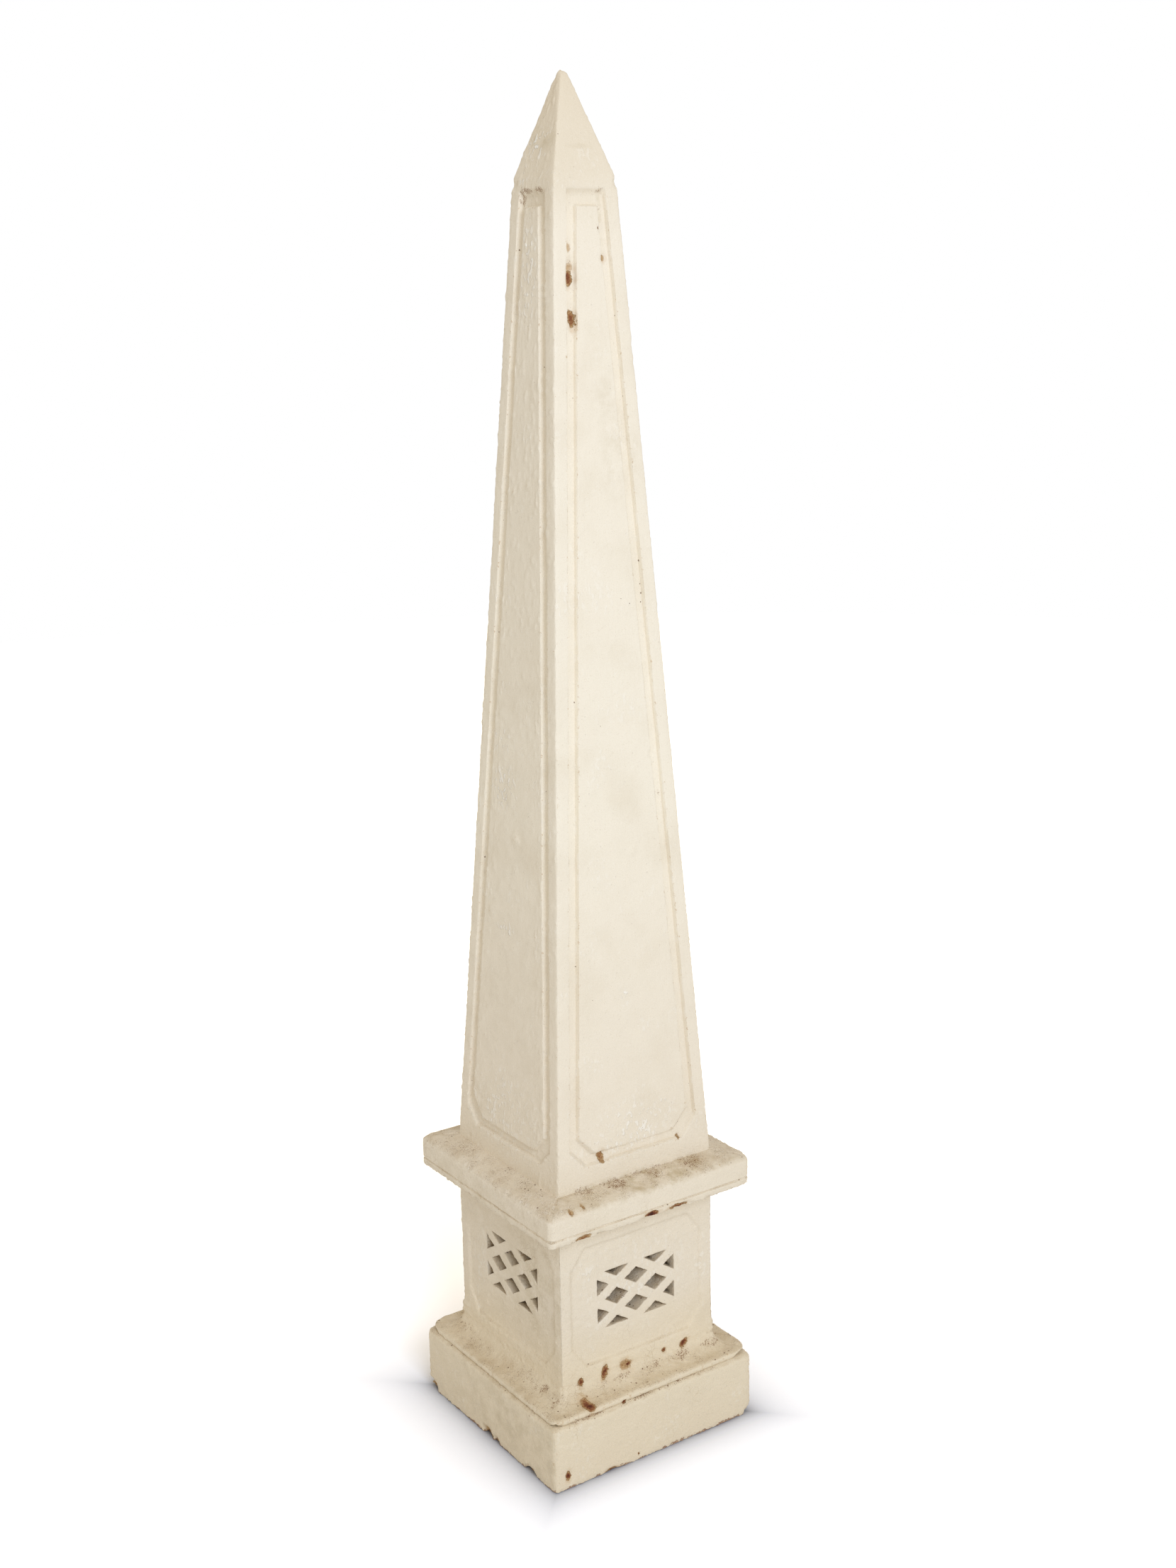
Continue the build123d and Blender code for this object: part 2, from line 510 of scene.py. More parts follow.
corniceLook["ledges"] = [(corniceHalf, fasciaBase), (corniceHalf, fasciaTop)]
scoreAt = fasciaBase + corniceLook["fillet"]
soffitHalf = corniceHalf - corniceLook["soffit"]
shaftInner = footHalf - corniceLook["wall"]
corniceLine = eased([
    (dadoHalf, corniceBase, 0),
    *arcPoints((dadoHalf, corniceBase), (soffitHalf, fasciaBase), corniceLook["hollow"],
               corniceLook["hollowCuts"]),
    (corniceHalf, fasciaBase, corniceLook["lowRound"]),
    (corniceHalf, scoreAt, corniceLook["scoreRound"]),
    (corniceHalf - corniceLook["score"], scoreAt + corniceLook["scoreLow"] * corniceLook["scoreWide"],
     corniceLook["scoreRound"]),
    (corniceHalf, scoreAt + corniceLook["scoreWide"], corniceLook["scoreRound"]),
    (corniceHalf, fasciaTop, corniceLook["arrisRound"]),
    (footHalf, corniceTop, 0),
    (footHalf - corniceLook["underShaft"], corniceTop, 0),
], corniceLook["step"])
coreTop, coreFoot = corniceTop - corniceLook["wall"], corniceBase + corniceLook["wall"]
corniceCore = [
    (shaftInner, corniceTop),
    (shaftInner, coreTop),
    (corniceLook["core"], coreTop),
    (corniceLook["core"], coreFoot + corniceLook["coreSlope"]),
    (dadoInner, coreFoot),
    (dadoInner, corniceBase),
]
corniceRing = sweepSquare("corniceRing", corniceLine, corniceCore, corniceLook)


# dado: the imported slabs, with their sunk panels and lattice, cut finely enough to wear
dadoLook = {
    **worn, "step": 0.0025, "inside": 0.092, "fade": 0.009, "flareHeight": 0.026, "flareSkin": 0.002,
    "panelDepth": 0.003, "panelEdge": 0.0005, "nearArris": 0.004, "edgeTurns": 9,
    "mouthSteps": (0.0008, 0.002, 0.005), "mouthsAt": (0.09, 0.06), "latticeSize": (0.060, 0.044),
    "mitreTurn": 1e-3, "mitreGap": 1e-4,
    # how dark the lattice's openings are painted: dirt and painted shade
    "tunnelGrimeAndShade": 0.10, "joints": [dadoBase, dadoTop], "rounding": 1, "otherSides": 0.8,
    "crumbs": 0.0005, "knocks": 0.0008,
}


# merged copy of a packed slab, its flat faces made whole
def copyNode(name):
    makeActive(frame["nodes"][name])
    bpy.ops.object.duplicate()
    copy = bpy.context.object
    copy.parent = None
    del copy["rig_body"], copy["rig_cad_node"]
    editMode()
    bpy.ops.mesh.select_all(action="SELECT")
    bpy.ops.mesh.remove_doubles(threshold=mergeGap)
    bpy.ops.mesh.dissolve_limited(angle_limit=math.radians(0.5))
    objectMode()
    return copy


# cuts the chosen faces by planes square to an axis
def cutAcross(piece, chosen, axis, places):
    makeActive(piece)
    selectFaces(piece, ~chosen)
    editMode()
    bpy.ops.mesh.hide(unselected=False)
    square = [float(axis == k) for k in range(3)]
    for place in places:
        bpy.ops.mesh.select_all(action="SELECT")
        bpy.ops.mesh.bisect(plane_co=[place * s for s in square], plane_no=square,
                            threshold=10 * mergeGap)
    bpy.ops.mesh.reveal()
    objectMode()


# the doubled faces inside the mitres go, so that the four slabs are one ring
dadoRing = joinAll([copyNode("dado_" + side) for side in sideNames], "dadoRing")
centre, normal = faceRows(dadoRing)
onMitre = abs(abs(normal[:, 0]) - abs(normal[:, 1])) < dadoLook["mitreTurn"]
onMitre &= abs(normal[:, 2]) < dadoLook["mitreTurn"]
onMitre &= abs(abs(centre[:, 0]) - abs(centre[:, 1])) < dadoLook["mitreGap"]
selectFaces(dadoRing, onMitre)
editMode()
bpy.ops.mesh.delete(type="ONLY_FACE")
mergeAll()

dadoMiddle = (dadoBase + dadoTop) / 2
panelFace = dadoHalf - dadoLook["panelDepth"]
rows = round((dadoTop - dadoBase) / dadoLook["step"])
columns = round(2 * dadoHalf / dadoLook["step"])
levels = [dadoBase + (dadoTop - dadoBase) * (k + 0.5) / rows for k in range(rows)]
places = [dadoHalf * (2 * (k + 0.5) / columns - 1) for k in range(columns)]
for axis, cuts in ((2, levels), (0, places), (1, places)):
    centre, normal = faceRows(dadoRing)
    reach = abs(centre[:, :2])
    chosen = reach.max(1) > dadoLook["inside"]
    if axis < 2:  # the faces that look along the other axis, apart from the ends of openings
        chosen &= (reach[:, 1 - axis] > reach[:, axis]) & (abs(normal[:, axis]) < 0.99)
    cutAcross(dadoRing, chosen, axis, cuts)

# the lattice's mouths are cut close behind the panel, so that they round without pulling in
mouthAt, mouthReach = dadoLook["mouthsAt"]
depths = [panelFace - step for step in dadoLook["mouthSteps"]]
for axis in (0, 1):
    centre, normal = faceRows(dadoRing)
    chosen = (abs(centre[:, axis]) > abs(centre[:, 1 - axis])) & (abs(normal[:, axis]) < 0.5)
    chosen &= abs(centre[:, axis]) < panelFace
    chosen &= abs(centre[:, 2] - dadoBase - mouthAt) < mouthReach
    cutAcross(dadoRing, chosen, axis, [sign * depth for depth in depths for sign in (-1, 1)])

# the foot flares into the cove
for vertex in dadoRing.data.vertices:
    low = max(0, 1 - (vertex.co.z - dadoBase) / dadoLook["flareHeight"])
    if max(abs(vertex.co.x), abs(vertex.co.y)) > dadoInner + dadoLook["flareSkin"]:
        share = 1 + low * low * dadoFlare / dadoHalf
        vertex.co = (vertex.co.x * share, vertex.co.y * share, vertex.co.z)

# paint has filled the edges of the sunk panels, away from the lattice
place = vertexRows(dadoRing)
reach = abs(place[:, :2])
latticeHalf, latticeRise = dadoLook["latticeSize"]
inLattice = (reach.min(1) < latticeHalf) & (abs(place[:, 2] - dadoMiddle) < latticeRise)
onPanel = reach.max(1) > panelFace - dadoLook["panelEdge"]
edges = onPanel & (reach.min(1) < dadoHalf - dadoLook["nearArris"]) & ~inLattice
edges &= ~atJoint(place, dadoLook)
smoothNear(dadoRing, "panelEdges", edges.astype(float), dadoLook["edgeTurns"])
print("dado cut:", len(dadoRing.data.polygons), "faces")


# shaft and tip: one skin of fine rows, its columns following the taper
shaftLook = {
    **worn, "margin": 0.016, "bottomRail": 0.025, "topRail": 0.010, "headDrop": 0.005, "headSlope": 3.5,
    "depth": 0.0048, "cell": 0.0016, "cantCells": 13, "fieldCells": 8, "arris": 0.002, "row": 0.0028,
    "marginCuts": (0, 0.1, 0.25, 0.42, 0.6, 0.78, 0.92), "middleCuts": 12, "railCuts": 9,
    "headCuts": 6, "topCuts": 4, "summitCuts": 6, "arrisTurns": (45, 30, 15),
    "cantHeight": 0.048, "tipFlat": 0.0035, "summitRound": 0.0053, "seat": 0.0008, "wall": 0.018,
    "shoulderReach": 0.005, "shoulderTurns": 10, "summitReach": 0.007, "summitTurns": 5,
    "summitFade": 0.003,
    "joints": [shaftBase], "rounding": 1, "inside": -1, "fade": 1, "otherSides": 0.35,
    "wave": 0.0012, "lumps": 0.0005, "blobs": 0.0009, "crumbs": 0.0008, "knocks": 0.0010,
}


def shaftSide(look):
    cell, margin, arris = look["cell"], look["margin"], look["arris"]
    inset, rise = footHalf - tipHalf, shoulder - shaftBase
    slope = math.hypot(inset, rise)
    # columns from the arris to the middle: round, margin, channel, then a share of the field
    turn = [math.radians(a) for a in look["arrisTurns"]]
    band = [arris + (margin - arris) * t for t in look["marginCuts"]]
    channel = [0, 0.5, *range(1, look["fieldCells"]), look["fieldCells"] - 0.5, look["fieldCells"]]
    band += [margin + cell * k for k in channel]
    fieldEdge = band[-1]
    fieldHalf = footHalf - inset * look["cantHeight"] / slope - fieldEdge
    shares = [cell * k / fieldHalf for k in range(1, look["cantCells"] + 1)]
    cuts = look["middleCuts"]
    shares += [shares[-1] + (1 - shares[-1]) * k / cuts for k in range(1, cuts + 1)]
    columns = len(turn) + len(band) + len(shares)
    # rows up the slope, then up the tip and over its rounded summit
    low, rail = look["bottomRail"], slope - look["topRail"]
    rows = [low * k / look["railCuts"] for k in range(look["railCuts"])]
    rows += [low + cell * k for k in channel]
    rows += [low + cell * (look["fieldCells"] + k) for k in range(1, look["cantCells"] + 1)]
    fieldTop = rail - (look["headDrop"] + cell * look["fieldCells"])
    count = round((fieldTop - cell - rows[-1]) / look["row"])
    rows += list(np.linspace(rows[-1], fieldTop - cell, count + 1)[1:])
    rows += list(fieldTop + cell * np.array([0, 0.5, 1]))
    rows += list(np.linspace(fieldTop + cell, rail - cell, look["headCuts"] + 1)[1:])
    rows += list(rail - cell * np.array([0.5, 0]))
    rows += [slope - look["topRail"] * (1 - k / look["topCuts"]) for k in range(1, look["topCuts"] + 1)]
    lean = math.atan2(tipHalf - look["tipFlat"], summit - shoulder)
    ball = look["summitRound"]
    centre = shoulder + tipHalf / math.tan(lean) - ball / math.sin(lean)
    tangent = centre + ball * math.sin(lean)
    count = round((tangent - shoulder) / look["row"])
    crown = [(tipHalf - (z - shoulder) * math.tan(lean), z)
             for z in np.linspace(shoulder, tangent, count + 1)[1:]]
    crown += [(ball * math.cos(a), centre + ball * math.sin(a))
              for a in np.linspace(lean, math.pi / 2, look["summitCuts"] + 1)[1:]]
    total, spans = len(rows) + len(crown), 2 * columns - 2
    deselectAll()
    bpy.ops.mesh.primitive_grid_add(x_subdivisions=spans, y_subdivisions=total - 1, size=1)
    side = bpy.context.object
    place = vertexRows(side)
    column = np.round((place[:, 0] + 0.5) * spans).astype(int)
    row = np.round((place[:, 1] + 0.5) * (total - 1)).astype(int)
    mirror = np.where(column < columns, -1.0, 1.0)
    step = np.where(column < columns, column, spans - column)
    half = np.array([footHalf - inset * v / slope for v in rows] + [c[0] for c in crown])[row]
    height = np.array([shaftBase + rise * v / slope for v in rows] + [c[1] for c in crown])[row]
    along = np.array(rows + [slope] * len(crown))[row]
    onTip = row >= len(rows)
    inTurn = step < len(turn)
    inField = step >= len(turn) + len(band)
    angle = np.array(turn + [0] * (columns - len(turn)))[step]
    offset = np.array([0] * len(turn) + band + [0] * len(shares))[step]
    share = np.array([0] * (columns - len(shares)) + shares)[step]
    face = np.where(onTip, tipHalf, half)
    offset = np.where(inField, fieldEdge + share * (face - fieldEdge), offset)
    # the arris round turns into the summit's own round near the top
    narrow = 4 * arris
    radius = np.where(half > narrow, arris, half * (1 - (1 - arris / narrow) * half / narrow))
    across = (face - offset) / (face - arris) * (half - radius)
    across = np.where(inTurn, half - radius + radius * np.sin(angle), across)
    sunk = np.where(inTurn, radius * (1 - np.cos(angle)), 0.0)
    # the channel: one cell of slope down, a flat floor, one cell of slope up to the field
    a, b, c = offset - margin, along - low, slope - along - look["topRail"]
    inward = np.minimum(np.minimum(a, b), (a + b - look["cantCells"] * cell) / 2)
    relief = np.clip(np.minimum(inward, c / look["headSlope"]) / cell, 0, 1)
    fromField = np.minimum(inward, c - look["headDrop"]) / cell - look["fieldCells"]
    relief -= np.clip(fromField + 1, 0, 1)
    sunk += np.where(onTip | inTurn, 0, relief * look["depth"])
    height -= look["seat"] * (row == 0)
    moveVertices(side, np.column_stack((across * mirror, sunk - half, height)))
    return side


# a mesh of its own for each of the other three sides
def turnedCopies(piece):
    copies = [piece]
    for turn in (1, 2, 3):
        makeActive(piece)
        bpy.ops.object.duplicate()
        bpy.context.object.rotation_euler.z = turn * math.pi / 2
        bpy.ops.object.transform_apply(rotation=True)
        copies.append(bpy.context.object)
    return copies


shaftSkin = joinAll(turnedCopies(shaftSide(shaftLook)), "shaftSkin")
print("shaft and tip drawn:", len(shaftSkin.data.polygons), "faces")


# where the paint has flaked or the clay is knocked away: place across and height in a side's own
# face, half width and half height, all in millimetres, lean in degrees, how dark the core is (burnt
# clay, partly painted shade in the chip), and how many times deeper it is than a flake of paint
flakes = {
    "front": [
        (-24.3, 1314, 5.4, 9.5, 6, 1.0, 1), (-23.4, 1324, 5.0, 4.6, 0, -0.25, 1),
        (-24.0, 1273, 4.4, 11.0, -8, 0.75, 1), (-22.8, 1343, 2.4, 5.0, -10, -0.3, 1),
        (18.4, 1333, 4.4, 4.2, 0, -0.1, 1), (14.2, 1362, 1.5, 2.6, -40, 1.0, 1),
        (-44.8, 367.7, 4.6, 7.8, -14, 0.35, 1), (62.7, 362.6, 2.2, 2.6, 0, 0.1, 1),
        (-108.4, 331.5, 3.2, 2.2, 0, 0.0, 1), (-91.0, 332.2, 2.2, 2.2, 0, 0.0, 1),
        (-95.4, 299.5, 11.0, 3.2, 0, 0.2, 1), (-2.6, 300.0, 9.5, 4.0, 0, 1.6, 1),
        (35.0, 299.5, 13.0, 3.0, 0, 0.5, 1), (-49.0, 104.8, 4.4, 9.0, 24, 0.75, 1),
        (-20.0, 104.2, 9.0, 6.0, 10, -0.12, 1), (-15.5, 103.0, 3.2, 2.0, 0, 1.2, 1),
        (64.0, 103.2, 7.0, 3.6, -30, 1.0, 1), (35.1, 103.4, 3.2, 2.6, 0, 0.8, 1),
        (-82.0, 103.6, 3.6, 5.2, 10, 0.7, 1), (-87.0, 87.5, 7.0, 6.5, 0, 1.0, 1),
        (-43.0, 79.5, 2.8, 2.6, 0, 0.8, 1), (-123.4, 17.4, 3.2, 6.2, 0, 1.0, 1),
        (-63.4, 1.0, 9.0, 3.4, 0, 0.4, 1), (-26.0, 8.0, 1.8, 1.8, 0, 0.6, 1),
    ],
    "left": [
        (-3.5, 5.0, 8.5, 5.6, 8, 0.0, 4), (16.7, 2.6, 4.5, 5.0, 0, -0.2, 3),
        (88.6, 1.2, 8.5, 5.0, -6, 0.5, 4), (-131.0, 3.0, 9.0, 8.0, 0, -0.4, 4),
    ],
}
# lumps and dents under sound paint, given in the same way, with how high each stands
lumps = {
    "front": [
        (16.5, 706, 3.6, 4.4, 0, 1.3), (50, 809, 4.5, 5, 0, -1.0), (-6, 549, 3, 4, 0, -0.9),
        (1, 541, 3, 4, 20, -0.8), (21.8, 411.5, 4, 4, 0, 0.9), (42.9, 414.1, 4, 3, 0, 0.9),
        (103, 116, 4, 4, 0, 1.4), (103, 108, 4, 3, 0, 1.2), (38, 1408, 2.5, 3.5, 0, -2.0),
    ],
    "left": [
        (1.6, 718, 6.5, 5.5, 20, 1.6), (-42.9, 626, 5, 4, 0, 1.3), (-10, 760, 5, 7, 15, 1.0),
    ],
}
for marks in (flakes, lumps):  # the far sides repeat the near ones
    marks["back"], marks["right"] = marks["front"], marks["left"]
# where a mark's pressing ends, 1 being its own edge, how steep it is, and how near its side's face a
# vertex has to be for it
flakeLook = {"depth": 0.0011, "edge": 1.4375, "steep": 2, "reach": 0.012}
coveMiddle, coveSwell = (beadTop + coveTop) / 2, 0.008
profile = [(ground, plinthHalf), (plinthTop, plinthHalf), (plinthTop, beadHalf), (beadTop, shelfHalf),
           (coveMiddle, dadoHalf + coveSwell), (coveTop, dadoHalf), (corniceBase, dadoHalf),
           (corniceBase, corniceHalf), (fasciaTop, corniceHalf), (corniceTop, footHalf),
           (shoulder, tipHalf), (summit, 0)]


# half width of the outer face at a height
def faceAt(height):
    return float(np.interp(height, *zip(*profile)))


# presses every flake and dent a little way into the clay, and raises the lumps
def pressFlakes(ring, look):
    place, normal = vertexRows(ring), rowsOf(ring.data.vertices, "normal")
    normal[atJoint(place, look), 2] = 0
    for turn, side in enumerate(sideNames):
        angle = turn * math.pi / 2
        across = place[:, 0] * math.cos(angle) + place[:, 1] * math.sin(angle)
        out = place[:, 0] * math.sin(angle) - place[:, 1] * math.cos(angle)
        marks = [(*flake[:5], flake[6] * flakeLook["depth"]) for flake in flakes[side]]
        marks += [(*lump[:5], -lump[5] / 1000) for lump in lumps[side]]
        for u, z, wide, tall, lean, deep in marks:
            lean = math.radians(lean)
            du, dz = across * 1000 - u, place[:, 2] * 1000 - z
            along = du * math.cos(lean) - dz * math.sin(lean)
            up = du * math.sin(lean) + dz * math.cos(lean)
            away = np.sqrt((along / wide) ** 2 + (up / tall) ** 2)
            near = np.clip(flakeLook["steep"] * (flakeLook["edge"] - away), 0, 1)
            near *= out > faceAt(z / 1000) - flakeLook["reach"]
            place -= normal * (near * deep)[:, None]
    moveVertices(ring, place)


# many coats have rounded the summit, and the shoulder between shaft and tip
def roundTop(skin, look):
    place = vertexRows(skin)
    top = np.clip((place[:, 2] - summit + look["summitReach"]) / look["summitFade"], 0, 1)
    smoothNear(skin, "summit", top, look["summitTurns"])
    away = abs(place[:, 2] - shoulder) / look["shoulderReach"]
    smoothNear(skin, "shoulder", np.clip(wearLook["shoulder"] - away, 0, 1), look["shoulderTurns"])


# every ring is worn as one, so that its corners meet, and then cut into its four slabs
slabs = {}
tiers = [("plinth", plinthRing, plinthLook), ("cove", coveRing, coveLook), ("dado", dadoRing, dadoLook),
         ("cornice", corniceRing, corniceLook), ("shaft", shaftSkin, shaftLook)]
for tier, ring, look in tiers:
    wearRing(ring, look)
    if tier == "shaft":
        roundTop(ring, look)
    pressFlakes(ring, look)
    markHollows(ring, look)
    if tier == "shaft":
        centre = faceRows(ring)[0]
        slabs["tip"] = splitSides(partFaces(ring, centre[:, 2] > shoulder), "tip")
    slabs[tier] = splitSides(ring, tier)
    print(tier, "worn and cut into", len(slabs[tier]), "slabs")
for tier in ("plinth", "cove", "dado", "cornice"):
    for piece in slabs[tier].values():
        closeMitres(piece)
shoulderInner = tipHalf - shaftLook["wall"]


# the shaft's inner face keeps the taper, the tip's runs up to a point
def shaftInward(place):
    share = (place.z - shaftBase) / (shoulder - shaftBase)
    inner = shaftInner + share * (shoulderInner - shaftInner)
    outer = footHalf + share * (tipHalf - footHalf)
    return Vector((place.x * inner / outer, place.y * inner / outer, place.z))


def tipInward(place):
    share = shoulderInner / tipHalf
    return Vector((place.x * share, place.y * share, shoulder + (place.z - shoulder) * share))


for side in sideNames:
    giveWall(slabs["shaft"][side], shaftInward)
    giveWall(slabs["tip"][side], tipInward)
print("mitres closed and walls given")


# an sRGB colour, written in hex, as the linear one that a node takes
def linear(hexColour):
    parts = [int(hexColour[i:i + 2], 16) / 255 for i in (1, 3, 5)]
    return [p / 12.92 if p <= 0.04045 else ((p + 0.055) / 1.055) ** 2.4 for p in parts] + [1.0]


# one node, with its settings and what is linked into it
def addNode(tree, kind, settings=None, links=None):
    node = tree.nodes.new(kind)
    for name, value in (settings or {}).items():
        if isinstance(name, int) or name in node.inputs:
            node.inputs[name].default_value = linear(value) if isinstance(value, str) else value
        elif name == "stops":
            ramp = node.color_ramp
            while len(ramp.elements) < len(value):
                ramp.elements.new(0.5)
            for element, (position, colour) in zip(ramp.elements, value):
                element.position = position
                element.color = linear(colour)
        else:
            setattr(node, name, value)
    for name, source in (links or {}).items():
        tree.links.new(source, node.inputs[name])
    return node


# a material with an empty tree
def newMaterial(name):
    material = bpy.data.materials.new(name)
    material.use_nodes = True
    material.node_tree.nodes.clear()
    return material, material.node_tree


noise, maths, vectors = "ShaderNodeTexNoise", "ShaderNodeMath", "ShaderNodeVectorMath"
coordinates, mapping, mix = "ShaderNodeTexCoord", "ShaderNodeMapping", "ShaderNodeMix"
bumps, principled, output = "ShaderNodeBump", "ShaderNodeBsdfPrincipled", "ShaderNodeOutputMaterial"
times, larger, smaller = ({"operation": name} for name in ("MULTIPLY", "MAXIMUM", "MINIMUM"))
minus, timesPlus, absolute = ({"operation": name} for name in ("SUBTRACT", "MULTIPLY_ADD", "ABSOLUTE"))

# oil paint, old and cream, brushed thick over fired terracotta and left out of doors:
# matt and chalky where it has weathered, grey-green to tan where dirt lies and where shade is painted into
# its hollows, with pits, dried skins (painted paler, as a highlight) and brush marks standing out as
# relief
paintLook = {
    "byHeight": [(0.0, "#e6d8be"), (0.05, "#e8dbc1"), (0.07, "#e8dabf"), (0.12, "#ebe0cc"),
                 (0.20, "#ece1cc"), (0.225, "#ece1cd"), (0.30, "#ede3d0"), (0.5, "#f3ebd9"),
                 (0.9, "#f0e7d5"), (0.94, "#e8ddc8"), (1.0, "#e4d7c0")],
    # the chalk white is also the painted highlight on dried skins
    "mottle": "#dccfb6", "stain": "#d6c9b0", "smudge": "#cdbfa2", "chalkAndHighlight": "#fffdf6",
    # the tan of the hollows is grime and painted shade together
    "hollowGrimeAndShade": "#a58a60", "ledgeDirt": "#b59b72", "dust": "#765536", "grit": "#73451f",
    "speck": "#6b4a30", "rubbed": "#bf9f72", "crack": "#b39b74", "haloTan": "#c6a06c",
    "clay": [(0.38, "#7a4c37"), (0.52, "#b08a6c"), (0.66, "#cdb592")],
    # a flake from its core to its rim: burnt iron red, partly painted shade, raw clay, then the edges of
    # older coats
    "flake": [(0.0, "#220f0a"), (0.3, "#431f14"), (0.5, "#68351e"), (0.68, "#845234"),
              (0.84, "#a07950"), (1.0, "#c3a57b")],
    "roughness": (0.5, 0.75), "IOR": 1.47, "Specular IOR Level": 0.35,
}


# kinds of step in the paint: the node, what is set on it, and the inputs that a step's numbers and
# colours fill and that earlier steps are linked into
fromTo = ("From Min", "From Max", "To Min", "To Max")
stepKinds = {
    "cloud": (noise, {}, ("Scale", "Detail", "Roughness"), ("Vector",)),
    "cells": ("ShaderNodeTexVoronoi", {}, ("Scale",), ("Vector",)),
    "cellEdges": ("ShaderNodeTexVoronoi", {"feature": "DISTANCE_TO_EDGE"}, ("Scale",), ("Vector",)),
    "stretch": (mapping, {}, ("Scale",), ("Vector",)),
    "shifted": (vectors, timesPlus, (1,), (0, 2)),
    "split": ("ShaderNodeSeparateColor", {}, (), (0,)),
    "ramp": ("ShaderNodeMapRange", {}, fromTo, ("Value",)),
    "fade": ("ShaderNodeMapRange", {"interpolation_type": "SMOOTHSTEP"}, fromTo, ("Value",)),
    "times": (maths, times, (1,), (0, 1)),
    "plus": (maths, {"operation": "ADD"}, (), (0, 1)),
    "minus": (maths, minus, (), (0, 1)),
    "larger": (maths, larger, (), (0, 1)),
    "scaled": (maths, timesPlus, (1, 2), (0, 2)),
    "coat": (mix, {"data_type": "RGBA"}, (7,), (0, 6, 7)),
    "tones": ("ShaderNodeValToRGB", {}, ("stops",), (0,)),
}


